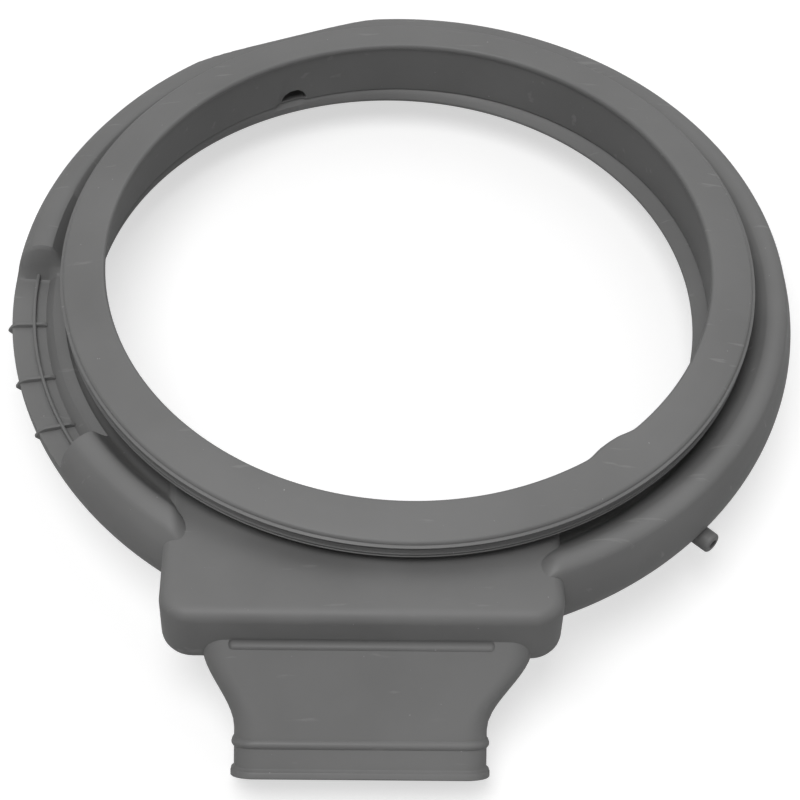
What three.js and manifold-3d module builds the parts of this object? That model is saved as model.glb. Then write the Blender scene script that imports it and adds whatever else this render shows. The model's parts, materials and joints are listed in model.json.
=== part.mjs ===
import * as THREE from 'three';
import { mergeVertices } from 'three/addons/utils/BufferGeometryUtils.js';
import Module from 'manifold-3d';

// Washing machine door seal with an air duct, moulded in one piece of rubber.
// Millimetres. While it is being shaped, the ring axis is Z, z = 0 is the outer edge of the front face,
// the duct leaves towards -Y and the drain lies almost opposite to it.

const wasm = await Module();
wasm.setup();

// Front ring: a slightly dished face, and under its edge the lips that grip the cabinet panel
const faceOuterR = 172.5;
const faceWidth = 21;
const faceInnerR = faceOuterR - faceWidth;
const faceCrown = 4.6;
const lipThick = 2.3;
const panelSlotW = 1.5;
const panelSlotDepth = 6;
const wireSlotDepth = 3.6;

// Inner wall and the soft lip that touches the door glass
const wall = 3;
const wallSetBack = 1.5;
const wallInnerR = faceInnerR + wallSetBack;
const creaseZ = -29.5;
const glassLipReach = 1.6;
const glassLipR = wallInnerR - glassLipReach;
const glassLipDrop = 5.6;
const glassLipDrift = 6.2;
const glassLipDip = 0.9;

// Bellows: a valley behind the ring, a rounded ridge and a tall bowed side
const valleyZ = -25.5;
const overhang = 26.1;
const sideR = faceOuterR + overhang;
const ridgeInset = 12.3;
const ridgeR = sideR - ridgeInset;
const ridgeZ = -18.5;
const ridgeRadius = 6.5;
const sideZ = -33.5;
const sideBow = 33;
const bodyDrift = 2.3;

// Rear rim: a flat ring with a groove for the edge of the tub and a wire groove round the outside
const rimZ = -60;
const rimInset = 11.6;
const rimOuterR = sideR - rimInset;
const rimWidth = 10.5;
const rimInnerR = rimOuterR - rimWidth;
const tubSlotSetIn = 3.7;
const tubSlotR = rimInnerR + tubSlotSetIn;
const tubSlotW = 3;
const tubSlotDepth = 7;
const wireGrooveDepth = 1.5;

// Flat on the bellows beside the drain; the rear rim below it stays round
const flatAz = 109;
const flatCut = 11.6;
const flatReach = sideR - flatCut;
const flatFootZ = -50.5;

// Relief sunk in the left of the bellows, with a rib along its floor and ribs across it
const reliefStartAz = 175.9;
const reliefEndAz = 213.3;
const reliefFloorZ = -31;
const reliefFloorWidth = 17.6;
const reliefFloorR = sideR - reliefFloorWidth;
const reliefStepWidth = 3.5;
const reliefStepR = reliefFloorR - reliefStepWidth;
const reliefStepZ = -26.2;
const ribThick = 1.8;
const ribHeight = 3;
const longRibSetIn = 12.3;
const longRibR = sideR - longRibSetIn;
const crossRibAz = [186.4, 197.3, 207.2];
const crossRibInnerR = reliefFloorR - 0.4;
const crossRibStandOff = 2.2;

// Small features round the ring
const drainAz = 112.6;
const drainWidth = 16;
const drainHeight = 7.5;
const drainSlope = 35;
const chuteDepth = 2.2;
const sprayAz = -49.5;
const hoodDepth = 7;
const hoodWidth = 26;
const hoodHeight = 17;
const stubAz = -43;
const stubRadius = 4.7;
const stubBore = 2.4;
const stubLength = 3.2;
const stubReach = sideR + stubLength;
const stubZ = -49;
const nubAz = -139.8;
const nubRadius = 3.2;
const notchAz = -43;
const notchWidth = 3;

// Duct: a flat box over the bellows and a spout that slopes down behind it
const ductX = -22;
const boxWidth = 186;
const boxStandOff = 7.4;
const boxFrontY = -(sideR + boxStandOff);
const boxTopZ = -11.5;
const boxBottomZ = -48.6;
const boxCornerR = 15;
const boxEdgeR = 5.5;
const spoutSlope = 40;
const spoutLength = 60;
const spoutLedge = 3;
const spoutTopZ = -33.5;
const spoutRootLeft = 73.5;
const spoutRootRight = 79;
const spoutWidth = 117;
const spoutHeight = 28;
const spoutWall = 2.5;
const spoutCornerR = 11;
const spoutFlare = 34;
const beadAt = 44.2;
const beadHeight = 1.1;
const beadWidth = 2.6;
const mouthLipHeight = 1.4;
const mouthLipWidth = 3;

// Fineness of the surface
const turnSteps = 64;
const cornerSteps = 4;
const shortestEdge = 0.04;

const rubber = new THREE.MeshStandardMaterial({ color: 0x6f7070, roughness: 0.6, metalness: 0 });

const rad = THREE.MathUtils.degToRad;

// A closed solid from a geometry, whichever way its faces were wound
function solid(geometry) {
  const bare = geometry.clone();
  bare.deleteAttribute('normal');
  bare.deleteAttribute('uv');
  const merged = mergeVertices(bare, 1e-3);
  const position = merged.getAttribute('position');
  const index = Array.from(merged.index.array);
  const faces = [];
  for (let i = 0; i < index.length; i += 3) {
    const [a, b, c] = index.slice(i, i + 3);
    if (a !== b && b !== c && c !== a) faces.push([a, b, c]);
  }
  let volume = 0;
  const corner = [new THREE.Vector3(), new THREE.Vector3(), new THREE.Vector3()];
  for (const face of faces) {
    face.forEach((vertex, i) => corner[i].fromBufferAttribute(position, vertex));
    volume += corner[0].dot(corner[1].clone().cross(corner[2]));
  }
  const wound = volume < 0 ? faces.map(([a, b, c]) => [a, c, b]) : faces;
  const mesh = new wasm.Mesh({
    numProp: 3,
    vertProperties: Float32Array.from(position.array),
    triVerts: Uint32Array.from(wound.flat()),
  });
  return new wasm.Manifold(mesh);
}

// The mesh of a solid, with corners closer than shortestEdge made one
function geometryOf(manifold) {
  const { vertProperties, triVerts } = manifold.getMesh();
  const points = Array.from({ length: vertProperties.length / 3 }, (_, i) =>
    new THREE.Vector3().fromArray(vertProperties, 3 * i));
  const joined = points.map((_, i) => i);
  const keeper = (vertex) => (joined[vertex] === vertex ? vertex : keeper(joined[vertex]));
  const faces = [];
  for (let i = 0; i < triVerts.length; i += 3) faces.push(Array.from(triVerts.slice(i, i + 3)));
  for (const face of faces) {
    face.forEach((vertex, i) => {
      const a = keeper(vertex);
      const b = keeper(face[(i + 1) % 3]);
      if (a !== b && points[a].distanceTo(points[b]) < shortestEdge) joined[b] = a;
    });
  }
  const kept = faces.map((face) => face.map(keeper)).filter(([a, b, c]) => a !== b && b !== c && c !== a);
  const geometry = new THREE.BufferGeometry();
  const position = kept.flat().flatMap((vertex) => points[vertex].toArray());
  geometry.setAttribute('position', new THREE.Float32BufferAttribute(position, 3));
  return mergeVertices(geometry, 1e-4);
}

// Points of an arc in the section plane, from one angle to another in degrees
function arc(r, z, radius, from, to, steps) {
  return Array.from({ length: steps + 1 }, (_, i) => {
    const angle = rad(from + ((to - from) * i) / steps);
    return [r + radius * Math.cos(angle), z + radius * Math.sin(angle)];
  });
}

// A section [r, z] turned once round the ring axis
function turned(section, steps = turnSteps) {
  const points = [...section, section[0]].map(([r, z]) => new THREE.Vector2(r, z));
  return new THREE.LatheGeometry(points, steps).rotateX(Math.PI / 2);
}

// A plain disc or plug round the ring axis
function plug(radius, low, high) {
  const section = [[0, low], [radius, low], [radius, high], [0, high]];
  const points = section.map(([r, z]) => new THREE.Vector2(r, z));
  return solid(new THREE.LatheGeometry(points, turnSteps).rotateX(Math.PI / 2));
}

// A skin through sections of equal point counts, closed by flat ends
function lofted(sections) {
  const count = sections[0].length;
  const faces = [];
  for (let s = 0; s + 1 < sections.length; s += 1) {
    for (let i = 0; i < count; i += 1) {
      const a = s * count + i;
      const b = s * count + ((i + 1) % count);
      faces.push(a, b, a + count, b, b + count, a + count);
    }
  }
  const last = (sections.length - 1) * count;
  for (let i = 1; i + 1 < count; i += 1) {
    faces.push(0, i + 1, i, last, last + i, last + i + 1);
  }
  const geometry = new THREE.BufferGeometry();
  geometry.setAttribute('position', new THREE.Float32BufferAttribute(sections.flat(2), 3));
  geometry.setIndex(faces);
  return geometry;
}

// A piece made with +X pointing outwards, turned to its azimuth and set at its radius and height
function placed(geometry, az, r, z) {
  geometry.translate(r, 0, z);
  geometry.rotateZ(rad(az));
  return geometry;
}

const smooth = (value, low, high) => THREE.MathUtils.smoothstep(value, low, high);

// Section of the seal, front and outside first, then the side that faces the tub
const slotZ1 = -lipThick;
const slotZ2 = slotZ1 - panelSlotW;
const lip2Z = slotZ2 - lipThick * 0.7;
const lip3Z = lip2Z - panelSlotW;
const lipStackZ = lip3Z - lipThick;
const neckR = wallInnerR + wall + 1.2;
const sideCentreR = sideR - sideBow;
const bowFrom = 37;
const bowTo = -38;
const ridgeTo = 140;
const slopeRun = (ridgeZ + ridgeRadius * Math.sin(rad(ridgeTo)) - valleyZ) / Math.tan(rad(ridgeTo - 90));
const valleyOuterR = ridgeR + ridgeRadius * Math.cos(rad(ridgeTo)) - slopeRun;

const frontSide = [
  [glassLipR, creaseZ - glassLipDrop],
  [wallInnerR, creaseZ],
  [wallInnerR - 0.3, faceCrown - 3.2],
  [faceInnerR, faceCrown - 1.6],
  [faceInnerR + 0.9, faceCrown],
  [faceOuterR - 0.6, 0.1],
  [faceOuterR, -0.6],
  [faceOuterR, slotZ1],
  [faceOuterR - panelSlotDepth, slotZ1 - 0.2],
  [faceOuterR - panelSlotDepth, slotZ2],
  [faceOuterR, slotZ2 - 0.2],
  [faceOuterR, lip2Z],
  [faceOuterR - wireSlotDepth, (lip2Z + lip3Z) / 2],
  [faceOuterR, lip3Z],
  [faceOuterR, lipStackZ],
  [faceOuterR - 8, lipStackZ - 1.5],
  [neckR + 1, lipStackZ - 3.5],
  [neckR, lipStackZ - 6],
  [neckR, valleyZ + 3],
  [neckR + 3, valleyZ],
  [valleyOuterR, valleyZ],
  ...arc(ridgeR, ridgeZ, ridgeRadius, ridgeTo, bowFrom + 15, 3),
  ...arc(sideCentreR, sideZ, sideBow, bowFrom, bowTo, 6),
  [rimOuterR + 5, rimZ + 5.5],
  [rimOuterR, rimZ + 4.8],
  [rimOuterR - wireGrooveDepth, rimZ + 3.2],
  [rimOuterR, rimZ + 1.6],
  [rimOuterR, rimZ],
];
const tubSide = [
  [tubSlotR + tubSlotW, rimZ],
  [tubSlotR + tubSlotW, rimZ + tubSlotDepth],
  [tubSlotR, rimZ + tubSlotDepth],
  [tubSlotR, rimZ],
  [rimInnerR, rimZ],
  [rimInnerR, rimZ + tubSlotDepth + 2],
  [rimInnerR + 5, rimZ + tubSlotDepth + wall],
  [rimOuterR + 1, rimZ + tubSlotDepth + wall + 1],
  ...arc(sideCentreR, sideZ, sideBow - wall, bowTo + 6, bowFrom - 2, 5),
  [ridgeR, ridgeZ + ridgeRadius - wall],
  [ridgeR - 3.2, ridgeZ + ridgeRadius - wall - 2.6],
  [valleyOuterR + 1.3, valleyZ - wall],
  [neckR, valleyZ - wall],
  [neckR - 0.6, creaseZ - 1.5],
  [glassLipR + 2.6, creaseZ - glassLipDrop - 1.6],
];

// The soft wall sags to one side, most of all at the glass lip
function drift(r, z) {
  const depth = Math.max(0, -z) / (glassLipDrop - creaseZ);
  const atLip = new THREE.Vector2(glassLipDrift, glassLipDip).multiplyScalar(depth);
  const atBody = new THREE.Vector2(bodyDrift * smooth(-z, 0, 12), 0);
  return atLip.lerp(atBody, smooth(r, neckR, valleyOuterR));
}

// A turned section with the flat pressed in and the sag added; inner steps stay a wall's thickness behind
function shaped(section) {
  const geometry = turned(section);
  const position = geometry.getAttribute('position');
  const perTurn = section.length + 1;
  const flat = new THREE.Vector2(Math.cos(rad(flatAz)), Math.sin(rad(flatAz)));
  for (let i = 0; i < position.count; i += 1) {
    const step = i % perTurn;
    const outside = step < frontSide.length || step === section.length;
    const skin = outside ? 0 : wall;
    let x = position.getX(i);
    let y = position.getY(i);
    const z = position.getZ(i);
    const r = Math.hypot(x, y);
    const beyond = x * flat.x + y * flat.y - (flatReach - skin);
    if (beyond > 0 && z > flatFootZ) {
      x -= beyond * flat.x;
      y -= beyond * flat.y;
    }
    const sag = drift(r, z);
    position.setXYZ(i, x - sag.x, y - sag.y, z);
  }
  return solid(geometry);
}

// Rounded rectangle, as [across, up] pairs
function roundedRectangle(width, height, radius) {
  const corners = [[1, 1, 0], [-1, 1, 90], [-1, -1, 180], [1, -1, 270]];
  return corners.flatMap(([sx, sy, start]) =>
    arc(sx * (width / 2 - radius), sy * (height / 2 - radius), radius, start, start + 90, cornerSteps));
}

const ductX0 = ductX - boxWidth / 2;

// The flat box, or its hollow when it is drawn in by the wall
function box(inset) {
  const edge = boxEdgeR - inset / 2;
  const low = new THREE.Vector2(ductX0 + inset + edge, boxFrontY + inset + edge);
  const high = new THREE.Vector2(ductX0 + boxWidth - inset - edge, boxFrontY + 90);
  const corner = boxCornerR - inset;
  const plan = new THREE.Shape();
  plan.moveTo(high.x, high.y);
  plan.lineTo(low.x, high.y);
  plan.lineTo(low.x, low.y + corner);
  plan.absarc(low.x + corner, low.y + corner, corner, Math.PI, Math.PI * 1.5, false);
  plan.lineTo(high.x - corner, low.y);
  plan.absarc(high.x - corner, low.y + corner, corner, Math.PI * 1.5, Math.PI * 2, false);
  plan.closePath();
  const geometry = new THREE.ExtrudeGeometry(plan, {
    depth: boxTopZ - boxBottomZ - 2 * inset - 2 * edge,
    bevelEnabled: true,
    bevelSize: edge,
    bevelThickness: edge,
    bevelSegments: 3,
    curveSegments: 5,
  });
  return solid(geometry.translate(0, 0, boxBottomZ + inset + edge));
}

// Reach of one side of the spout from its middle: each side flares by its own amount where it meets the box
function spoutReach(at, atRoot) {
  return THREE.MathUtils.lerp(atRoot, spoutWidth / 2, smooth(at, 0, spoutFlare));
}

// One section across the spout; grow is how far it stands outside the plain surface
function spoutSection(at, grow) {
  const root = THREE.MathUtils.clamp(1 - at / 12, 0, 2);
  const height = spoutHeight - 4.5 * root + 2 * grow;
  const left = spoutReach(at, spoutRootLeft);
  const right = spoutReach(at, spoutRootRight);
  const width = left + right + 2 * grow;
  const along = new THREE.Vector3(0, -Math.cos(rad(spoutSlope)), -Math.sin(rad(spoutSlope)));
  const up = new THREE.Vector3(0, -Math.sin(rad(spoutSlope)), Math.cos(rad(spoutSlope)));
  const start = new THREE.Vector3(ductX + (right - left) / 2, boxFrontY - spoutLedge, spoutTopZ);
  const centre = start.addScaledVector(along, at).addScaledVector(up, grow - height / 2);
  return roundedRectangle(width, height, spoutCornerR + grow).map(([across, rise]) =>
    centre.clone().add(new THREE.Vector3(across, up.y * rise, up.z * rise)).toArray());
}

function spout() {
  const stations = [-12, -5, 0, 6, 12, 18, 24, 31].map((at) => [at, 0]);
  stations.push([beadAt - beadWidth, 0], [beadAt - beadWidth / 4, beadHeight]);
  stations.push([beadAt + beadWidth / 4, beadHeight], [beadAt + beadWidth, 0]);
  stations.push([spoutLength - mouthLipWidth - 1, 0], [spoutLength - mouthLipWidth, mouthLipHeight]);
  stations.push([spoutLength, mouthLipHeight]);
  return solid(lofted(stations.map(([at, grow]) => spoutSection(at, grow))));
}

function spoutHollow() {
  const stations = [-9, 0, 6, 12, 18, 24, 31, spoutLength + 1];
  return solid(lofted(stations.map((at) => spoutSection(at, -spoutWall))));
}

// A bar that follows the ring from one azimuth to another, its corners given as [r, z]
function ringBar(corners, from, to) {
  const steps = Math.ceil((to - from) / 4);
  const sections = Array.from({ length: steps + 1 }, (_, i) => {
    const az = rad(from + ((to - from) * i) / steps);
    return corners.map(([r, z]) => [r * Math.cos(az) - bodyDrift, r * Math.sin(az), z]);
  });
  return solid(lofted(sections));
}

// Room of the relief above its floor, or with its lining of wall thickness
function reliefRoom(lining) {
  const out = sideR + 15;
  const inner = valleyOuterR - 0.5 - lining;
  const slant = lining / 2;
  const corners = [
    [inner, reliefStepZ - lining],
    [reliefStepR - slant, reliefStepZ - lining],
    [reliefFloorR - slant, reliefFloorZ - lining],
    [out, reliefFloorZ - lining],
    [out, 0],
    [valleyOuterR + 4, 0],
    [valleyOuterR + 4, lipStackZ - 5],
    [inner, lipStackZ - 9],
  ];
  const end = THREE.MathUtils.radToDeg(lining / sideR);
  return ringBar(corners, reliefStartAz - end, reliefEndAz + end);
}

function longRib() {
  const corners = [[longRibR, -1], [longRibR + ribThick, -1], [longRibR + ribThick, ribHeight], [longRibR, ribHeight]];
  return ringBar(corners.map(([r, rise]) => [r, reliefFloorZ + rise]), reliefStartAz - 0.3, reliefEndAz + 0.3);
}

// Rib across the relief: a thin plate that runs over the shoulder and down the side
function crossRib(az) {
  const out = sideR + crossRibStandOff;
  const top = reliefFloorZ + ribHeight;
  const plate = new THREE.Shape([
    [crossRibInnerR, reliefFloorZ - 1],
    [crossRibInnerR, top - 1.4],
    [crossRibInnerR + 2, top - 0.3],
    [sideR - 3, top - 0.3],
    [sideR, top - 2],
    [out, reliefFloorZ - 2.6],
    [sideR, reliefFloorZ - 7],
    [sideR - 2.4, reliefFloorZ - 7],
    [sideR - 2.4, reliefFloorZ - 1],
  ].map(([r, z]) => new THREE.Vector2(r, z)));
  const geometry = new THREE.ExtrudeGeometry(plate, { depth: ribThick, bevelEnabled: false });
  geometry.rotateX(Math.PI / 2).translate(0, ribThick / 2, 0).rotateZ(rad(az));
  return solid(geometry.translate(-bodyDrift, 0, 0));
}

// Hood over the spray hole, a rounded swelling of the inner wall
function hood() {
  const ball = new THREE.SphereGeometry(1, 14, 10).rotateX(Math.PI / 2);
  ball.scale(hoodDepth, hoodWidth / 2, hoodHeight / 2);
  return solid(placed(ball, sprayAz, wallInnerR, faceCrown - 1.8 - hoodHeight / 2));
}

// Round stub for the spray hose, with a collar near its end
function stub() {
  const root = rimOuterR - 2;
  const length = stubReach - root;
  const section = [
    [0, 0],
    [stubRadius, 0],
    [stubRadius, length - 4.5],
    [stubRadius + 0.7, length - 4],
    [stubRadius + 0.4, length - 1.5],
    [stubRadius - 1.2, length],
    [0, length],
  ].map(([r, z]) => new THREE.Vector2(r, z));
  return solid(placed(new THREE.LatheGeometry(section, 16).rotateZ(-Math.PI / 2), stubAz, root, stubZ));
}

function stubHole() {
  const length = stubReach - rimInnerR + 8;
  const bore = new THREE.CylinderGeometry(stubBore, stubBore, length, 12).rotateZ(-Math.PI / 2);
  return solid(placed(bore, stubAz, rimInnerR - 4 + length / 2, stubZ));
}

function nub() {
  const ball = new THREE.SphereGeometry(nubRadius, 10, 8);
  return solid(placed(ball, nubAz, sideR - 0.8, sideZ - 4));
}

// Arched drain hole that falls outwards through the wall, at the foot of a chute in its face
function drainHole() {
  const arch = new THREE.Shape();
  arch.moveTo(-drainWidth / 2, 0);
  arch.lineTo(drainWidth / 2, 0);
  arch.absellipse(0, 0, drainWidth / 2, drainHeight, 0, Math.PI, false, 0);
  const geometry = new THREE.ExtrudeGeometry(arch, { depth: 14, bevelEnabled: false, curveSegments: 8 });
  geometry.rotateX(Math.PI / 2).rotateZ(Math.PI / 2).rotateY(rad(drainSlope));
  return solid(placed(geometry, drainAz, wallInnerR - 2.4, creaseZ + 1.4));
}

function drainChute() {
  const top = [[0, -3.5], [0, 3.5]];
  const foot = [[0, -drainWidth * 0.62], [0, drainWidth * 0.62]];
  const high = faceCrown - 9;
  const low = creaseZ + 0.6;
  const sections = [
    [...top.map(([, y]) => [-3, y, high]), ...top.map(([, y]) => [0.2, y * 0.8, high]).reverse()],
    [...foot.map(([, y]) => [-3, y, low]), ...foot.map(([, y]) => [chuteDepth, y * 0.75, low]).reverse()],
  ];
  return solid(placed(lofted(sections), drainAz, wallInnerR - 0.4, 0));
}

function lipNotch() {
  const cutter = new THREE.BoxGeometry(4, notchWidth, lipStackZ * -0.45);
  return solid(placed(cutter, notchAz, faceOuterR, lipStackZ * 0.75));
}

// Everything outside is joined first, then the ways through it are cut
function seal() {
  const boxShell = box(0).subtract(plug(neckR - 1, boxBottomZ - 1, 0))
    .subtract(plug(rimInnerR, boxBottomZ - 1, valleyZ - wall / 2));
  const boxHollow = box(wall).subtract(plug(neckR + wall + 2, boxBottomZ - 1, 0));
  const ring = shaped([...frontSide, ...tubSide]);
  const envelope = shaped([...frontSide, [glassLipR, rimZ]]);
  const lining = reliefRoom(wall).intersect(envelope);
  let body = ring.add(lining).subtract(reliefRoom(0)).add(boxShell).add(spout());
  body = body.add(longRib()).add(hood()).add(stub()).add(nub());
  for (const az of crossRibAz) body = body.add(crossRib(az));
  body = body.subtract(boxHollow).subtract(spoutHollow());
  body = body.subtract(drainChute()).subtract(drainHole());
  return body.subtract(stubHole()).subtract(lipNotch());
}

// The finished seal stands with its lowest point at z = 0, centred on its own outline
const shape = geometryOf(seal());
shape.computeBoundingBox();
const { min, max } = shape.boundingBox;
const doorSeal = new THREE.Mesh(shape, rubber);
doorSeal.name = 'door_seal';
doorSeal.position.set(-(min.x + max.x) / 2, -(min.y + max.y) / 2, -min.z);

const part = new THREE.Group();
part.add(doorSeal);

export default part;
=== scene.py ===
import json
import math

import bpy
from mathutils import Matrix, Vector

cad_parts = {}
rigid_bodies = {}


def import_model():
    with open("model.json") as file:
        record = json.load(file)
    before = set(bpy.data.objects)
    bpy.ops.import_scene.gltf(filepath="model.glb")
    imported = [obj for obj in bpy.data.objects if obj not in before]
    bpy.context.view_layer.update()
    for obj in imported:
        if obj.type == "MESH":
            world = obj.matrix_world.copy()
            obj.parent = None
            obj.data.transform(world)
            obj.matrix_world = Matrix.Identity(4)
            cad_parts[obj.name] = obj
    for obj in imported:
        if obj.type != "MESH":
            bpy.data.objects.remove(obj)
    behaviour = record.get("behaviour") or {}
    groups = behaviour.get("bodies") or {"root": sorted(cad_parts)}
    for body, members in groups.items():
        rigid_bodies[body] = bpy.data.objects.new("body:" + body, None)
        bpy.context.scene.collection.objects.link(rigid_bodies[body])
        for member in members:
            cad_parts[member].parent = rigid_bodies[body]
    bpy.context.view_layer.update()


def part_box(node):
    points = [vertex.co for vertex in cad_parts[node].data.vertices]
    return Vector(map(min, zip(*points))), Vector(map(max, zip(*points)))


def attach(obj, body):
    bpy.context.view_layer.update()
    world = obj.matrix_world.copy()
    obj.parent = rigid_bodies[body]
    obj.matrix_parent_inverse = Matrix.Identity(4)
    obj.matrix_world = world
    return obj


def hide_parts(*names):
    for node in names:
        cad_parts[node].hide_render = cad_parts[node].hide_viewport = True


# Washing machine door seal. The ring and its bellows are spun from one outline, and the air duct,
# ribs and small parts are joined to them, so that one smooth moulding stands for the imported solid.
# Sizes are in millimetres from the centre of the front ring; mm turns them into metres.
mm = 0.001

bpy.ops.object.select_all(action="SELECT")
bpy.ops.object.delete()
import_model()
low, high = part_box("door_seal")
ringCentre = Vector((high.x - 196.3 * mm, low.y + 255.86 * mm, high.z - 4.6 * mm))
print("frame loaded")


def toEdit(piece):
    if bpy.context.mode != "OBJECT":
        bpy.ops.object.mode_set(mode="OBJECT")
    bpy.ops.object.select_all(action="DESELECT")
    piece.select_set(True)
    bpy.context.view_layer.objects.active = piece
    bpy.ops.object.mode_set(mode="EDIT")


def toObject():
    if bpy.context.mode != "OBJECT":
        bpy.ops.object.mode_set(mode="OBJECT")


# Selects what passes the test, which gets a point, an edge's two ends, or a face's centre and normal
def pick(piece, kind, test):
    toObject()
    mesh = piece.data
    for parts in (mesh.vertices, mesh.edges, mesh.polygons):
        parts.foreach_set("select", [False] * len(parts))
    bpy.context.tool_settings.mesh_select_mode = (kind == "VERT", kind == "EDGE", kind == "FACE")
    if kind == "VERT":
        for point in mesh.vertices:
            point.select = test(point.co)
    if kind == "EDGE":
        for edge in mesh.edges:
            edge.select = test(*(mesh.vertices[i].co for i in edge.vertices))
    if kind == "FACE":
        for face in mesh.polygons:
            face.select = test(face.center, face.normal)
    toEdit(piece)


def settle(piece):
    toObject()
    bpy.ops.object.select_all(action="DESELECT")
    piece.select_set(True)
    bpy.context.view_layer.objects.active = piece
    bpy.ops.object.transform_apply(location=True, rotation=True, scale=True)


def tidyNormals(piece, gap=0.01):
    toEdit(piece)
    bpy.ops.mesh.select_all(action="SELECT")
    bpy.ops.mesh.remove_doubles(threshold=gap * mm)
    bpy.ops.mesh.normals_make_consistent(inside=False)
    toObject()


# Joins, cuts or keeps the common part of two solids; the second one is used up
def combine(piece, other, how):
    toObject()
    bpy.ops.object.select_all(action="DESELECT")
    piece.select_set(True)
    bpy.context.view_layer.objects.active = piece
    join = piece.modifiers.new(other.name, "BOOLEAN")
    join.operation = how
    join.solver = "EXACT"
    join.object = other
    bpy.ops.object.modifier_apply(modifier=join.name)
    bpy.data.objects.remove(other)


def isAt(co, corner):
    return abs(co.x - corner[0] * mm) < 0.02 * mm and abs(co.z - corner[1] * mm) < 0.02 * mm


# Closed outline in the XZ plane, extruded corner by corner; a corner's third number eases it that far back
def drawOutline(name, corners, segments=4):
    bpy.ops.mesh.primitive_plane_add(size=2 * mm)
    piece = bpy.context.object
    piece.name = name
    pick(piece, "VERT", lambda co: True)
    bpy.ops.mesh.merge(type="CENTER")
    bpy.ops.transform.translate(value=(corners[0][0] * mm, 0, corners[0][1] * mm))
    for before, after in zip(corners, corners[1:]):
        step = ((after[0] - before[0]) * mm, 0, (after[1] - before[1]) * mm)
        bpy.ops.mesh.extrude_region_move(TRANSFORM_OT_translate={"value": step})
    pick(piece, "VERT", lambda co: isAt(co, corners[0]) or isAt(co, corners[-1]))
    bpy.ops.mesh.edge_face_add()
    for ease in sorted({corner[2] for corner in corners if len(corner) > 2}):
        group = [corner for corner in corners if len(corner) > 2 and corner[2] == ease]
        pick(piece, "VERT", lambda co: any(isAt(co, corner) for corner in group))
        bpy.ops.mesh.bevel(offset=ease * mm, segments=segments, affect="VERTICES")
    toObject()
    return piece


def arcCorners(r, z, radius, start, end, count):
    angles = [math.radians(start + (end - start) * i / count) for i in range(count + 1)]
    return [(r + radius * math.cos(a), z + radius * math.sin(a)) for a in angles]


# Spins an outline all the way round the ring axis
def spinRound(piece, steps):
    toEdit(piece)
    bpy.ops.mesh.select_all(action="SELECT")
    bpy.ops.mesh.spin(steps=steps, angle=2 * math.pi, center=(0, 0, 0), axis=(0, 0, 1), use_auto_merge=True)
    tidyNormals(piece)
    return piece


# Spins a filled outline from one azimuth to another, in degrees
def spinBar(name, corners, start, end, shift, segments=3):
    piece = drawOutline(name, corners, segments)
    toEdit(piece)
    bpy.ops.mesh.select_all(action="SELECT")
    bpy.ops.mesh.edge_face_add()
    bpy.ops.mesh.spin(steps=max(4, round((end - start) / 1.25)), angle=math.radians(start - end),
                      center=(0, 0, 0), axis=(0, 0, 1))
    tidyNormals(piece)
    piece.rotation_euler.z = math.radians(start)
    piece.location.x = shift * mm
    settle(piece)
    return piece


# ring and bellows

ring = {
    "steps": 440,
    "glassLip": (153.9, -37.2), "crease": (156.6, -32.7), "creaseDeep": 1.1, "wallTop": (153.0, -1.5),
    "rim": (151.3, 3.0), "crown": (152.4, 4.7), "roll": (170.8, -1.9, 2.1), "lipR": 174.2, "slotFloor": 166.5,
    "neckR": 160.0, "valley": (170.7, -25.5), "ridge": (186.2, -21.5, 10.0), "side": (165.6, -33.5, 33.0),
    "rollArc": (76, 0, 6), "ridgeArc": (118, 54, 10), "sideArc": (28, -38, 18), "innerArc": (-32, 36, 12),
    "overRidge": (193.2, -14.9), "lipsEnd": -11.2, "slopeNormal": (0.765, 0.644), "crestZ": -13,
    "bodyFrom": (162, 173), "bodyDepth": (9, 22), "smoothAngle": 32,
    "wall": 3.0, "rimZ": -60.0, "rimOuter": 187.0, "rimInner": 176.5, "tubSlot": (180.2, 183.2, 7.0),
    "wireGroove": 1.5, "lipSag": 4.5, "lipDip": 0.9, "bodySag": 2.3,
    "flatAz": 110.6, "flatReach": 185.3, "flatFoot": -50.5,
}


def between(start, end, share):
    return tuple(a + (b - a) * share for a, b in zip(start, end))


def glassSide():
    r, z = ring["glassLip"]
    creaseR, creaseZ = ring["crease"]
    corners = [(r - 0.1, z - 1.1, 0.4), (r, z, 0.3), between((r, z), (creaseR, creaseZ), 0.5)]
    corners += [(creaseR, creaseZ - 0.8), (creaseR + ring["creaseDeep"], creaseZ), (creaseR, creaseZ + 0.8)]
    corners += [between((creaseR, creaseZ + 0.8), ring["wallTop"], i / 7) for i in range(1, 7)]
    corners += [ring["wallTop"], (ring["wallTop"][0], 0.2, 0.4), (ring["rim"][0] + 0.3, 1.3, 0.5)]
    return corners + [ring["rim"] + (0.7,), ring["crown"] + (0.9,), (160.0, 2.95), (166.0, 1.55)]


# Rolled edge, a thin flange, the slot for the panel, and two more lips with a groove between them
def lips():
    r, floor = ring["lipR"], ring["slotFloor"]
    corners = arcCorners(*ring["roll"], *ring["rollArc"])
    corners += [(r, -2.5), (r, -2.9), (floor, -3.2), (floor, -6.3)]
    corners += [(r - 2.1, -6.5, 0.2), (r - 1.6, -8.0), (r - 0.7, -8.2, 0.15), (r - 0.7, -8.7, 0.15)]
    corners += [(r - 2.5, -9.0), (r - 2.5, -9.5), (r - 0.6, -9.9, 0.15), (r - 0.6, -10.4, 0.15)]
    return corners + [(r - 1.8, -10.9)]


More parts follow.
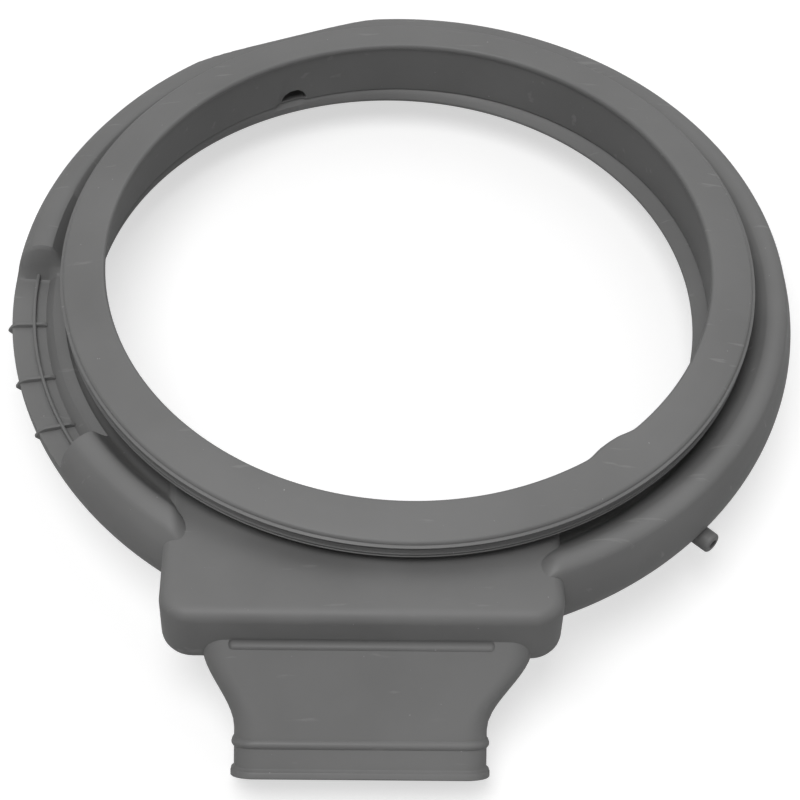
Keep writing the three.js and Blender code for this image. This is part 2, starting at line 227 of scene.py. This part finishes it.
def frontSide():
    neck = ring["neckR"]
    valleyR, valleyZ = ring["valley"]
    shoulder = arcCorners(*ring["ridge"], *ring["ridgeArc"])
    corners = glassSide() + lips() + [(165.0, -12.4), (neck + 1, -14.6, 1.2), (neck, -17.4)]
    corners += [(neck, valleyZ + 3, 2.0), (neck + 4, valleyZ), (valleyR, valleyZ, 1.5)]
    corners += [between((valleyR, valleyZ), shoulder[0], share) for share in (0.38, 0.63)]
    corners += shoulder + [ring["overRidge"]] + arcCorners(*ring["side"], *ring["sideArc"])
    rim, z = ring["rimOuter"], ring["rimZ"]
    corners += [(rim + 5, z + 5.5, 1.2), (rim, z + 4.8, 0.4), (rim - ring["wireGroove"], z + 3.2, 0.5)]
    return corners + [(rim, z + 1.6, 0.3), (rim, z, 0.4)]


def tubSide():
    z, wall, neck = ring["rimZ"], ring["wall"], ring["neckR"]
    valleyR, valleyZ = ring["valley"]
    inner, outer, depth = ring["tubSlot"]
    sx, sz, bow = ring["side"]
    x, ridgeZ, radius = ring["ridge"]
    lipR, lipZ = ring["glassLip"]
    corners = [(outer, z, 0.3), (outer, z + depth, 0.5), (inner, z + depth, 0.5), (inner, z, 0.3)]
    corners += [(ring["rimInner"], z, 0.5), (ring["rimInner"], z + depth + 2)]
    corners += [(ring["rimInner"] + 5, z + depth + wall), (ring["rimOuter"] + 1, z + depth + wall + 0.9)]
    corners += arcCorners(sx, sz, bow - wall, *ring["innerArc"])
    corners += [(x, ridgeZ + radius - wall, 1.0), (x - 3.2, ridgeZ + radius - wall - 2.6)]
    corners += [(valleyR + 2.9, valleyZ - wall, 1.0), (neck + 1.6, valleyZ - wall)]
    return corners + [(neck + 0.9, -31.5), (neck - 0.5, -35.6, 0.8), (lipR + 0.9, lipZ - 2.3, 0.4)]


# True on the side of the wall that is seen, for the slope, the crest and the bulge as they are spun
def outerSkin(co):
    r, z = math.hypot(co.x, co.y) / mm, co.z / mm
    valleyR, valleyZ = ring["valley"]
    sx, sz, bow = ring["side"]
    alongR, alongZ = ring["slopeNormal"]
    onSlope = (r - valleyR) * alongR - (z - valleyZ) * alongZ < 2
    return z > ring["crestZ"] or onSlope or math.hypot(r - sx, z - sz) > bow - 1.6


# Weighted push along one axis, then applied
def pull(piece, name, axis, amount, weightOf):
    group = piece.vertex_groups.new(name=name)
    for point in piece.data.vertices:
        share = weightOf(point.co)
        if share > 0:
            group.add([point.index], share, "REPLACE")
    push = piece.modifiers.new(name, "DISPLACE")
    push.direction = axis
    push.mid_level = 0
    push.strength = amount * mm
    push.vertex_group = name
    bpy.context.view_layer.objects.active = piece
    bpy.ops.object.modifier_apply(modifier=name)


def ease(value, start, end):
    share = min(1, max(0, (value - start) / (end - start)))
    return share * share * (3 - 2 * share)


# The wall and its glass lip lean to the left, and the bellows with them
def sagWall(piece):
    lipZ, creaseZ = ring["glassLip"][1], ring["crease"][1]

    def onBody(co):
        return ease(math.hypot(co.x, co.y) / mm, *ring["bodyFrom"])

    def depth(co):
        return min(1, max(0, co.z / mm / creaseZ))

    def onLip(co):
        return min(1, max(0, (co.z / mm - creaseZ) / (lipZ - creaseZ)))

    pull(piece, "wallSag", "X", -ring["bodySag"], lambda co: depth(co) * (1 - onBody(co)))
    pull(piece, "lipSag", "X", -ring["lipSag"], lambda co: onLip(co) * (1 - onBody(co)))
    pull(piece, "lipDip", "Y", -ring["lipDip"], lambda co: depth(co) * (1 - onBody(co)))
    pull(piece, "bodySag", "X", -ring["bodySag"],
         lambda co: ease(-co.z / mm, *ring["bodyDepth"]) * onBody(co))


# Scales the bulge to nothing along the flat's own direction. The second pass also takes the outer skin,
# which outerSkin no longer knows once it is pressed, so both skins lie on the inner plane there
def pressFlat(piece):
    away = Vector((math.cos(math.radians(ring["flatAz"])), math.sin(math.radians(ring["flatAz"])), 0))
    turn = Matrix((away, Vector((-away.y, away.x, 0)), Vector((0, 0, 1)))).transposed()
    for skin, reach in ((True, ring["flatReach"]), (False, ring["flatReach"] - ring["wall"])):
        pick(piece, "VERT", lambda co: co.z > ring["flatFoot"] * mm and co.dot(away) > reach * mm
             and outerSkin(co) == skin)
        bpy.ops.transform.resize(value=(0, 1, 1), orient_type="GLOBAL", orient_matrix=turn,
                                 orient_matrix_type="GLOBAL", constraint_axis=(True, False, False),
                                 center_override=away * reach * mm)
    toObject()


# relief with its ribs

relief = {
    "start": (174.7, 176.9), "end": (213.3, 213.7),
    "slices": (174.7, 175.1, 175.5, 175.9, 176.4, 176.9, 213.3, 213.7),
    "step": (177.5, -26.2), "floor": (181.0, -31.0), "from": 174.0, "fullPull": 20,
    "longRib": (186.3, 1.7, 3.2), "cross": ((186.2, -5), (197.0, -8), (206.8, -13)),
    "crossThick": 1.7, "crossEase": 0.35, "crossTurnR": 189.0, "tip": 200.9,
}


def azimuthOf(co):
    return math.degrees(math.atan2(co.y, co.x)) % 360


# Presses the bellows down to the relief's floor, softly where it starts and sharply where it ends
def pressRelief(piece):
    for cut in relief["slices"]:
        angle = math.radians(cut)
        pick(piece, "FACE", lambda centre, normal: abs(azimuthOf(centre) - cut) < 3)
        across = (-math.sin(angle), math.cos(angle), 0)
        bpy.ops.mesh.bisect(plane_co=(0, 0, 0), plane_no=across, threshold=1e-5)
    toObject()
    stepR, stepZ = relief["step"]
    floorR, floorZ = relief["floor"]

    def drop(co):
        r, z = math.hypot(co.x, co.y) / mm, co.z / mm
        if r < relief["from"] or z < ring["flatFoot"] or z > ring["lipsEnd"]:
            return 0
        level = stepZ + (floorZ - stepZ) * min(1, max(0, (r - stepR) / (floorR - stepR)))
        level -= 0 if outerSkin(co) else ring["wall"]
        azimuth = azimuthOf(co)
        share = ease(azimuth, *relief["start"]) * (1 - ease(azimuth, *relief["end"]))
        return max(0, z - level) / relief["fullPull"] * share

    pull(piece, "relief", "Z", -relief["fullPull"], drop)


def crossRib(azimuth, turn):
    floorR, floor = relief["floor"]
    plate = [
        (floorR - 0.4, floor - 1), (floorR - 0.4, floor + 1.4, 0.6), (183, floor + 2.5, 0.6),
        (195.8, floor + 2.4, 1.0), (198.8, floor + 0.6, 0.8), (relief["tip"], floor - 2.8, 0.5),
        (198.6, floor - 5.6, 0.6), (196.4, floor - 5.6), (196.4, floor - 1),
    ]
    rib = drawOutline("crossRib", plate, 3)
    toEdit(rib)
    bpy.ops.mesh.select_all(action="SELECT")
    bpy.ops.mesh.edge_face_add()
    bpy.ops.mesh.extrude_region_move(TRANSFORM_OT_translate={"value": (0, relief["crossThick"] * mm, 0)})
    tidyNormals(rib)
    pick(rib, "EDGE", lambda a, b: abs(a.y - b.y) < 1e-6)
    bpy.ops.mesh.bevel(offset=relief["crossEase"] * mm, segments=2, affect="EDGES")
    toObject()
    rib.location = Vector((-relief["crossTurnR"], -relief["crossThick"] / 2, 0)) * mm
    settle(rib)
    rib.rotation_euler.z = math.radians(turn)
    rib.location.x = relief["crossTurnR"] * mm
    settle(rib)
    rib.rotation_euler.z = math.radians(azimuth)
    rib.location.x = -ring["bodySag"] * mm
    settle(rib)
    return rib


def addRibs(seal):
    r, thick, high = relief["longRib"]
    floor = relief["floor"][1]
    bar = [(r, floor - 1), (r + thick, floor - 1), (r + thick, floor + high, 0.6), (r, floor + high, 0.6)]
    rib = spinBar("longRib", bar, relief["start"][1] - 0.9, relief["end"][1] + 0.2, -ring["bodySag"])
    combine(seal, rib, "UNION")
    for azimuth, turn in relief["cross"]:
        combine(seal, crossRib(azimuth, turn), "UNION")
    print("relief ribbed")


# air duct

duct = {
    "x": -22.0, "width": 186.0, "front": -206.0, "back": -116.0, "top": -11.5, "bottom": -48.6,
    "backDrop": 11.0, "ridgeDrop": 8.0,
    "ridgeFrom": (172, 177), "ridgeSides": (16, 3), "ridgeDepth": (-34, -13),
    "corner": 15.0, "edge": 6.5, "lowEdge": 5.5, "wall": 3.0, "groove": (2.8, 61.0),
    "slope": 40.0, "ledge": 3.0, "spoutTop": -33.5, "rootLeft": 73.5, "rootRight": 79.0, "half": 58.5,
    "tall": 28.0, "rootTall": 23.5, "flare": 38.0, "spoutCorner": 11.0, "spoutWall": 2.5,
    "bead": (44.2, 2.2, 1.2), "length": 60.0, "mouthLip": (3.2, 1.5),
}


# Where the duct's top covers the ring, the ridge goes down into it
def lowerAtDuct(seal):
    middle, half = duct["x"], duct["width"] / 2

    def covered(co):
        r, x = math.hypot(co.x, co.y) / mm, co.x / mm
        if co.y > 0 or co.z < -35 * mm or co.z > ring["lipsEnd"] * mm:
            return 0
        onRidge = ease(r, *duct["ridgeFrom"])
        beside = ease(abs(x - middle), half - duct["ridgeSides"][0], half - duct["ridgeSides"][1])
        return onRidge * (1 - beside) * ease(co.z / mm, *duct["ridgeDepth"])

    pull(seal, "ridgeDrop", "Z", -duct["ridgeDrop"], covered)


def ductBox(name, inset):
    left = duct["x"] - duct["width"] / 2 + inset
    right = duct["x"] + duct["width"] / 2 - inset
    front, back = duct["front"] + inset, duct["back"]
    top, bottom = duct["top"] - inset, duct["bottom"] + inset
    middle = Vector(((left + right) / 2, (front + back) / 2, (top + bottom) / 2)) * mm
    bpy.ops.mesh.primitive_cube_add(size=1, location=middle)
    piece = bpy.context.object
    piece.name = name
    piece.scale = ((right - left) * mm, (back - front) * mm, (top - bottom) * mm)
    settle(piece)
    pick(piece, "VERT", lambda co: co.y > back * mm - 1e-5 and co.z > top * mm - 1e-5)
    bpy.ops.transform.translate(value=(0, 0, -duct["backDrop"] * mm))
    frontY = front * mm + 1e-5
    pick(piece, "EDGE", lambda a, b: a.y < frontY and b.y < frontY and abs(a.x - b.x) < 1e-6)
    bpy.ops.mesh.bevel(offset=(duct["corner"] - inset) * mm, segments=12, affect="EDGES")
    drop = duct["backDrop"] / (back - front)

    def onTop(co):
        return abs(co.z - (top * mm - (co.y - front * mm) * drop)) < 2e-5

    def onBottom(co):
        return abs(co.z - bottom * mm) < 2e-5

    for onLevel, edge in ((onTop, duct["edge"]), (onBottom, duct["lowEdge"])):
        pick(piece, "EDGE", lambda a, b: onLevel(a) and onLevel(b) and min(a.y, b.y) < back * mm - 1e-4)
        bpy.ops.mesh.bevel(offset=(edge - inset / 2) * mm, segments=6, affect="EDGES")
    tidyNormals(piece)
    return piece


def plug(name, radius, bottom, top, x):
    bpy.ops.mesh.primitive_cylinder_add(vertices=320, radius=radius * mm, depth=(top - bottom) * mm,
                                        location=(x * mm, 0, (top + bottom) / 2 * mm))
    piece = bpy.context.object
    piece.name = name
    settle(piece)
    return piece


# Built lying along -Y with its top at z = 0, each section extruded from the one before. The root is then
# pulled wider and lower, and the whole bar is tipped down
def spoutBar(name, stations):
    half, tall = duct["half"], duct["tall"]
    at, grow = stations[0]
    bpy.ops.mesh.primitive_plane_add(size=1, rotation=(math.pi / 2, 0, 0))
    piece = bpy.context.object
    piece.name = name
    settle(piece)
    piece.scale = (2 * (half + grow) * mm, 1, (tall + 2 * grow) * mm)
    piece.location = Vector((0, -at, -tall / 2)) * mm
    settle(piece)
    pick(piece, "VERT", lambda co: True)
    bpy.ops.mesh.bevel(offset=(duct["spoutCorner"] + grow) * mm, segments=12, affect="VERTICES")
    for (at, grow), (nextAt, nextGrow) in zip(stations, stations[1:]):
        bpy.ops.mesh.extrude_region_move(TRANSFORM_OT_translate={"value": (0, (at - nextAt) * mm, 0)})
        wider = ((half + nextGrow) / (half + grow), 1, (tall / 2 + nextGrow) / (tall / 2 + grow))
        bpy.ops.transform.resize(value=wider, center_override=Vector((0, -nextAt, -tall / 2)) * mm)
    tidyNormals(piece)

    def root(co):
        return 1 - ease(-co.y / mm, 0, duct["flare"])

    pull(piece, "rootLeft", "X", duct["half"] - duct["rootLeft"], lambda co: root(co) if co.x < 0 else 0)
    pull(piece, "rootRight", "X", duct["rootRight"] - duct["half"], lambda co: root(co) if co.x > 0 else 0)
    pull(piece, "rootLow", "Z", tall - duct["rootTall"],
         lambda co: 1 - ease(-co.y / mm, -6, 14) if co.z < -tall / 2 * mm else 0)
    piece.rotation_euler.x = math.radians(duct["slope"])
    piece.location = Vector((duct["x"], duct["front"] - duct["ledge"], duct["spoutTop"])) * mm
    settle(piece)
    return piece


def spoutStations():
    beadAt, beadHalf, beadHigh = duct["bead"]
    lipWide, lipHigh = duct["mouthLip"]
    end = duct["length"]
    stations = [(at, 0) for at in (-12, -8, -4, 0, 3, 6, 9, 12, 15, 18, 21, 24, 27, 30, 34, 38)]
    across = (-1, -0.75, -0.5, -0.2, 0.2, 0.5, 0.75, 1)
    stations += [(beadAt + beadHalf * x, beadHigh * (1 - x * x)) for x in across]
    start = end - lipWide
    stations += [(start - 1.4, 0), (start - 0.7, lipHigh * 0.3), (start, lipHigh * 0.9)]
    stations += [(start + 0.5, lipHigh), (end - 0.5, lipHigh), (end, lipHigh - 0.5)]
    return stations


# Soft groove between the box and the top of the spout
def spoutGroove():
    radius, half = duct["groove"]
    slope = math.radians(duct["slope"])
    rise = duct["ledge"] * math.tan(slope)
    y = duct["front"] - radius + 0.6
    z = duct["spoutTop"] + rise - 0.5
    bpy.ops.mesh.primitive_cylinder_add(vertices=48, radius=radius * mm, depth=2 * half * mm,
                                        rotation=(0, math.pi / 2, 0))
    groove = bpy.context.object
    groove.name = "spoutGroove"
    groove.location = Vector((duct["x"], y, z)) * mm
    settle(groove)
    pick(groove, "FACE", lambda centre, normal: abs(normal.x) > 0.9)
    bpy.ops.mesh.bevel(offset=2.0 * mm, segments=5, affect="EDGES")
    tidyNormals(groove)
    return groove


def buildDuct(seal):
    shell = ductBox("ductBox", 0)
    combine(shell, plug("neckPlug", ring["neckR"] - 1.7, duct["bottom"] - 2, 0, -1.2), "DIFFERENCE")
    underValley = ring["valley"][1] - 1.5
    combine(shell, plug("rimPlug", ring["rimInner"], duct["bottom"] - 2, underValley, 0), "DIFFERENCE")
    combine(shell, spoutBar("spout", spoutStations()), "UNION")
    combine(shell, spoutGroove(), "DIFFERENCE")
    combine(seal, shell, "UNION")
    hollow = ductBox("ductHollow", duct["wall"])
    combine(hollow, plug("backWall", ring["neckR"] + 3, duct["bottom"] - 2, 0, 0), "DIFFERENCE")
    inside = [(at, -duct["spoutWall"]) for at in (-9, -4, 0, 6, 12, 18, 24, 30, 38, 50, duct["length"] + 2)]
    combine(hollow, spoutBar("spoutHollow", inside), "UNION")
    combine(seal, hollow, "DIFFERENCE")
    print("duct joined")


# drain, spray hood, hose stub and nub

small = {
    "drainAz": 113.0, "drainWidth": 13.7, "drainHigh": 6.3, "drainZ": -28.3, "drainSlope": 18.0,
    "drainPress": 1.6, "drainTop": 1.5, "drainFoot": 8.0, "drainR": 150.6, "drainLong": 15.0,
    "drainFrom": 0.05, "drainSides": (1.6, 1.2), "drainWithin": 159,
    "hoodAz": -51.0, "hoodZ": -2, "hoodIn": 2.5, "hoodSpread": 13.0, "hoodReach": 5, "hoodWithin": 154,
    "stubAz": -43.0, "stubR": 5.2, "stubReach": 201.8, "stubZ": -49.0, "stubBore": 2.4, "stubRound": 1.5,
    "nub": (-139.8, 197.6, -37.5), "nubR": 3.2,
}


def polar(azimuth, r, z):
    angle = math.radians(azimuth)
    return Vector((r * math.cos(angle), r * math.sin(angle), z)) * mm


# Shallow recess in the wall that widens down to the drain hole
def pressDrain(seal):
    middle = polar(small["drainAz"], 1, 0) / mm
    creaseZ = ring["crease"][1]

    def inRecess(co):
        across = abs(co.x * middle.y - co.y * middle.x) / mm
        depth = co.z / mm / creaseZ
        onWall = depth >= 0 and co.z / mm >= creaseZ - 1.5 and co.dot(middle) >= 0
        if not onWall or math.hypot(co.x, co.y) > small["drainWithin"] * mm:
            return 0
        half = small["drainTop"] + (small["drainFoot"] - small["drainTop"]) * depth
        inner, outer = small["drainSides"]
        return ease(depth, small["drainFrom"], 1) * (1 - ease(across, half - inner, half + outer))

    pull(seal, "drainX", "X", small["drainPress"] * middle.x, inRecess)
    pull(seal, "drainY", "Y", small["drainPress"] * middle.y, inRecess)


def bulgeHood(seal):
    middle = polar(small["hoodAz"], ring["rim"][0], small["hoodZ"])
    inward = polar(small["hoodAz"], -small["hoodIn"], 0)
    reach, within = small["hoodReach"] * mm, small["hoodWithin"] * mm
    pick(seal, "VERT", lambda co: (co - middle).length < reach and math.hypot(co.x, co.y) < within)
    bpy.ops.transform.translate(value=inward, use_proportional_edit=True, proportional_edit_falloff="SMOOTH",
                                proportional_size=small["hoodSpread"] * mm, use_proportional_connected=True)
    toObject()


def buildDrain(seal):
    wide = small["drainWidth"] / 2
    bpy.ops.mesh.primitive_cylinder_add(vertices=40, radius=wide * mm, depth=small["drainLong"] * mm,
                                        rotation=(0, math.pi / 2, 0))
    hole = bpy.context.object
    hole.name = "drainHole"
    settle(hole)
    pick(hole, "FACE", lambda centre, normal: True)
    bpy.ops.mesh.bisect(plane_co=(0, 0, 0), plane_no=(0, 0, 1), clear_inner=True, use_fill=True)
    tidyNormals(hole)
    hole.scale = (1, 1, small["drainHigh"] / wide)
    hole.location.x = small["drainLong"] / 2 * mm
    settle(hole)
    hole.rotation_euler.y = math.radians(small["drainSlope"])
    settle(hole)
    hole.rotation_euler.z = math.radians(small["drainAz"])
    hole.location = polar(small["drainAz"], small["drainR"], small["drainZ"])
    settle(hole)
    combine(seal, hole, "DIFFERENCE")


def buildStub(seal):
    root = ring["rimOuter"] - 2
    length = small["stubReach"] - root
    bpy.ops.mesh.primitive_cylinder_add(vertices=40, radius=small["stubR"] * mm, depth=length * mm,
                                        rotation=(0, math.pi / 2, 0), location=(length / 2 * mm, 0, 0))
    stub = bpy.context.object
    stub.name = "hoseStub"
    settle(stub)
    pick(stub, "FACE", lambda centre, normal: normal.x > 0.9)
    bpy.ops.mesh.bevel(offset=small["stubRound"] * mm, segments=5, affect="EDGES")
    tidyNormals(stub)
    bpy.ops.mesh.primitive_cylinder_add(vertices=24, radius=small["stubBore"] * mm, depth=60 * mm,
                                        rotation=(0, math.pi / 2, 0))
    bore = bpy.context.object
    bore.name = "stubBore"
    settle(bore)
    for piece, at in ((stub, root), (bore, root + 5)):
        piece.rotation_euler.z = math.radians(small["stubAz"])
        piece.location = polar(small["stubAz"], at, small["stubZ"])
        settle(piece)
    combine(seal, stub, "UNION")
    combine(seal, bore, "DIFFERENCE")
    bpy.ops.mesh.primitive_uv_sphere_add(segments=24, ring_count=16, radius=small["nubR"] * mm,
                                         location=polar(*small["nub"]))
    nub = bpy.context.object
    nub.name = "nub"
    settle(nub)
    combine(seal, nub, "UNION")


# The ring with all that is pressed into it
def buildRing():
    seal = spinRound(drawOutline("doorSealRubber", frontSide() + tubSide(), 3), ring["steps"])
    pressFlat(seal)
    pressRelief(seal)
    pressDrain(seal)
    lowerAtDuct(seal)
    sagWall(seal)
    print("ring and bellows spun:", len(seal.data.polygons), "faces")
    return seal


seal = buildRing()
bulgeHood(seal)
buildDuct(seal)
addRibs(seal)
buildDrain(seal)
buildStub(seal)
seal.location = ringCentre
settle(seal)
tidyNormals(seal, 0.004)
toObject()
bpy.ops.object.select_all(action="DESELECT")
seal.select_set(True)
bpy.context.view_layer.objects.active = seal
bpy.ops.object.shade_smooth_by_angle(angle=math.radians(ring["smoothAngle"]))
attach(seal, "root")
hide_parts("door_seal")
print("seal finished:", len(seal.data.polygons), "faces")


# rubber

rubber = {
    "dark": (0.140, 0.140, 0.139), "light": (0.178, 0.178, 0.177), "speck": (0.36, 0.36, 0.355),
    "scuff": (0.225, 0.225, 0.222), "roughness": (0.44, 0.62), "mottle": 14.0, "speckScale": 420.0,
    "scuffScale": 34.0, "scuffStretch": (1.0, 7.0, 3.0), "grain": 900.0, "swell": 46.0,
    "grainHeight": 0.06, "swellHeight": 0.25, "bumpStrength": 0.3,
    "mottleRange": (0.34, 0.68, 0, 1), "scuffRange": (0.66, 0.72, 0, 0.6), "speckRange": (0.80, 0.83, 0, 0.7),
}


# Noise on the object's own coordinates
def noise(material, place, scale, detail, stretch=(1, 1, 1)):
    nodes, links = material.node_tree.nodes, material.node_tree.links
    mapping = nodes.new("ShaderNodeMapping")
    mapping.inputs["Scale"].default_value = stretch
    made = nodes.new("ShaderNodeTexNoise")
    made.inputs["Scale"].default_value = scale
    made.inputs["Detail"].default_value = detail
    links.new(place.outputs["Object"], mapping.inputs["Vector"])
    links.new(mapping.outputs["Vector"], made.inputs["Vector"])
    return made.outputs["Fac"]


# A level between two values spread over another range
def spread(material, level, start, end, low, high):
    nodes, links = material.node_tree.nodes, material.node_tree.links
    made = nodes.new("ShaderNodeMapRange")
    made.inputs["From Min"].default_value = start
    made.inputs["From Max"].default_value = end
    made.inputs["To Min"].default_value = low
    made.inputs["To Max"].default_value = high
    links.new(level, made.inputs["Value"])
    return made.outputs["Result"]


def mixColour(material, share, under, over):
    nodes, links = material.node_tree.nodes, material.node_tree.links
    made = nodes.new("ShaderNodeMix")
    made.data_type = "RGBA"
    links.new(share, made.inputs["Factor"])
    if isinstance(under, tuple):
        made.inputs["A"].default_value = (*under, 1)
    else:
        links.new(under, made.inputs["A"])
    made.inputs["B"].default_value = (*over, 1)
    return made.outputs["Result"]


def raised(material, level, height, before=None):
    nodes, links = material.node_tree.nodes, material.node_tree.links
    made = nodes.new("ShaderNodeBump")
    made.inputs["Strength"].default_value = rubber["bumpStrength"]
    made.inputs["Distance"].default_value = height * mm
    links.new(level, made.inputs["Height"])
    if before:
        links.new(before, made.inputs["Normal"])
    return made.outputs["Normal"]


def rubberMaterial():
    material = bpy.data.materials.new("greyRubber")
    material.use_nodes = True
    nodes, links = material.node_tree.nodes, material.node_tree.links
    shader = nodes["Principled BSDF"]
    place = nodes.new("ShaderNodeTexCoord")
    mottle = noise(material, place, rubber["mottle"], 7)
    specks = noise(material, place, rubber["speckScale"], 1)
    scuffs = noise(material, place, rubber["scuffScale"], 5, rubber["scuffStretch"])
    grain = noise(material, place, rubber["grain"], 3)
    swell = noise(material, place, rubber["swell"], 2)
    cloudy = spread(material, mottle, *rubber["mottleRange"])
    colour = mixColour(material, cloudy, rubber["dark"], rubber["light"])
    colour = mixColour(material, spread(material, scuffs, *rubber["scuffRange"]), colour, rubber["scuff"])
    colour = mixColour(material, spread(material, specks, *rubber["speckRange"]), colour, rubber["speck"])
    links.new(colour, shader.inputs["Base Color"])
    links.new(spread(material, mottle, 0.3, 0.7, *rubber["roughness"]), shader.inputs["Roughness"])
    soft = raised(material, swell, rubber["swellHeight"])
    links.new(raised(material, grain, rubber["grainHeight"], soft), shader.inputs["Normal"])
    return material


seal.data.materials.clear()
seal.data.materials.append(rubberMaterial())


# floor, light and camera

studio = {
    "lean": 4.675, "mouth": (-236.1, -94.6), "floorSize": 8.0, "floorColour": 0.6, "floorGlow": 0.6,
    "world": 0.3,
    "lamps": {
        "frontTop": {"place": (-0.4, -0.7, 2.4), "size": 1.5, "power": 31},
        "rearTop": {"place": (0.7, 1.2, 2.2), "size": 2.0, "power": 10},
    },
}


def buildFloor():
    y, z = studio["mouth"]
    bpy.ops.mesh.primitive_plane_add(size=studio["floorSize"])
    floor = bpy.context.object
    floor.name = "floor"
    floor.rotation_euler.x = math.radians(studio["lean"])
    floor.location = ringCentre + Vector((0, y, z - 0.2)) * mm
    settle(floor)
    material = bpy.data.materials.new("paleFloor")
    material.use_nodes = True
    nodes, links = material.node_tree.nodes, material.node_tree.links
    shader = nodes["Principled BSDF"]
    shader.inputs["Base Color"].default_value = (*[studio["floorColour"]] * 3, 1)
    shader.inputs["Roughness"].default_value = 0.9
    shader.inputs["Specular IOR Level"].default_value = 0.0
    rays = nodes.new("ShaderNodeLightPath")
    glow = nodes.new("ShaderNodeMath")
    glow.operation = "MULTIPLY"
    glow.inputs[1].default_value = studio["floorGlow"]
    links.new(rays.outputs["Is Camera Ray"], glow.inputs[0])
    links.new(glow.outputs[0], shader.inputs["Emission Strength"])
    shader.inputs["Emission Color"].default_value = (1, 1, 1, 1)
    floor.data.materials.append(material)


def buildLight():
    scene = bpy.context.scene
    world = bpy.data.worlds.new("studio")
    scene.world = world
    world.use_nodes = True
    nodes, links = world.node_tree.nodes, world.node_tree.links
    back = nodes["Background"]
    back.inputs["Color"].default_value = (1, 1, 1, 1)
    rays = nodes.new("ShaderNodeLightPath")
    most = nodes.new("ShaderNodeMath")
    most.operation = "MAXIMUM"
    shiny = nodes.new("ShaderNodeMath")
    shiny.operation = "MAXIMUM"
    level = nodes.new("ShaderNodeMapRange")
    level.inputs["To Min"].default_value = studio["world"]
    level.inputs["To Max"].default_value = 1.0
    links.new(rays.outputs["Is Camera Ray"], most.inputs[0])
    links.new(rays.outputs["Is Transmission Ray"], shiny.inputs[0])
    links.new(rays.outputs["Is Glossy Ray"], shiny.inputs[1])
    links.new(shiny.outputs[0], most.inputs[1])
    links.new(most.outputs[0], level.inputs["Value"])
    links.new(level.outputs[0], back.inputs["Strength"])
    for name, lamp in studio["lamps"].items():
        bpy.ops.object.light_add(type="AREA", location=ringCentre + Vector(lamp["place"]))
        light = bpy.context.object
        light.name = name
        light.data.shape = "DISK"
        light.data.size = lamp["size"]
        light.data.energy = lamp["power"]
        light.rotation_euler = (-Vector(lamp["place"])).to_track_quat("-Z", "Y").to_euler()


view = {
    "distance": 1111.1, "down": 51.647, "roll": 2.229, "turn": -2.0,
    "aim": (-1.617, -89.783), "focal": 104.52,
}


def buildCamera():
    down, roll = math.radians(view["down"]), math.radians(view["roll"])
    forward = Vector((0, math.cos(down), -math.sin(down)))
    place = Vector((*view["aim"], 0)) - forward * view["distance"]
    side = Vector((1, 0, 0))
    up = side.cross(forward)
    across = side * math.cos(roll) + up * math.sin(roll)
    upright = up * math.cos(roll) - side * math.sin(roll)
    turn = Matrix.Rotation(math.radians(view["turn"]), 3, "Z")
    axes = Matrix((turn @ across, turn @ upright, turn @ -forward)).transposed()
    bpy.ops.object.camera_add()
    camera = bpy.context.object
    camera.name = "photoView"
    camera.matrix_world = Matrix.Translation(ringCentre + turn @ place * mm) @ axes.to_4x4()
    camera.data.lens = view["focal"]
    camera.data.sensor_width = 36
    camera.data.clip_end = 50
    bpy.context.scene.camera = camera


buildFloor()
buildLight()
buildCamera()
bpy.context.scene.view_settings.view_transform = "Standard"
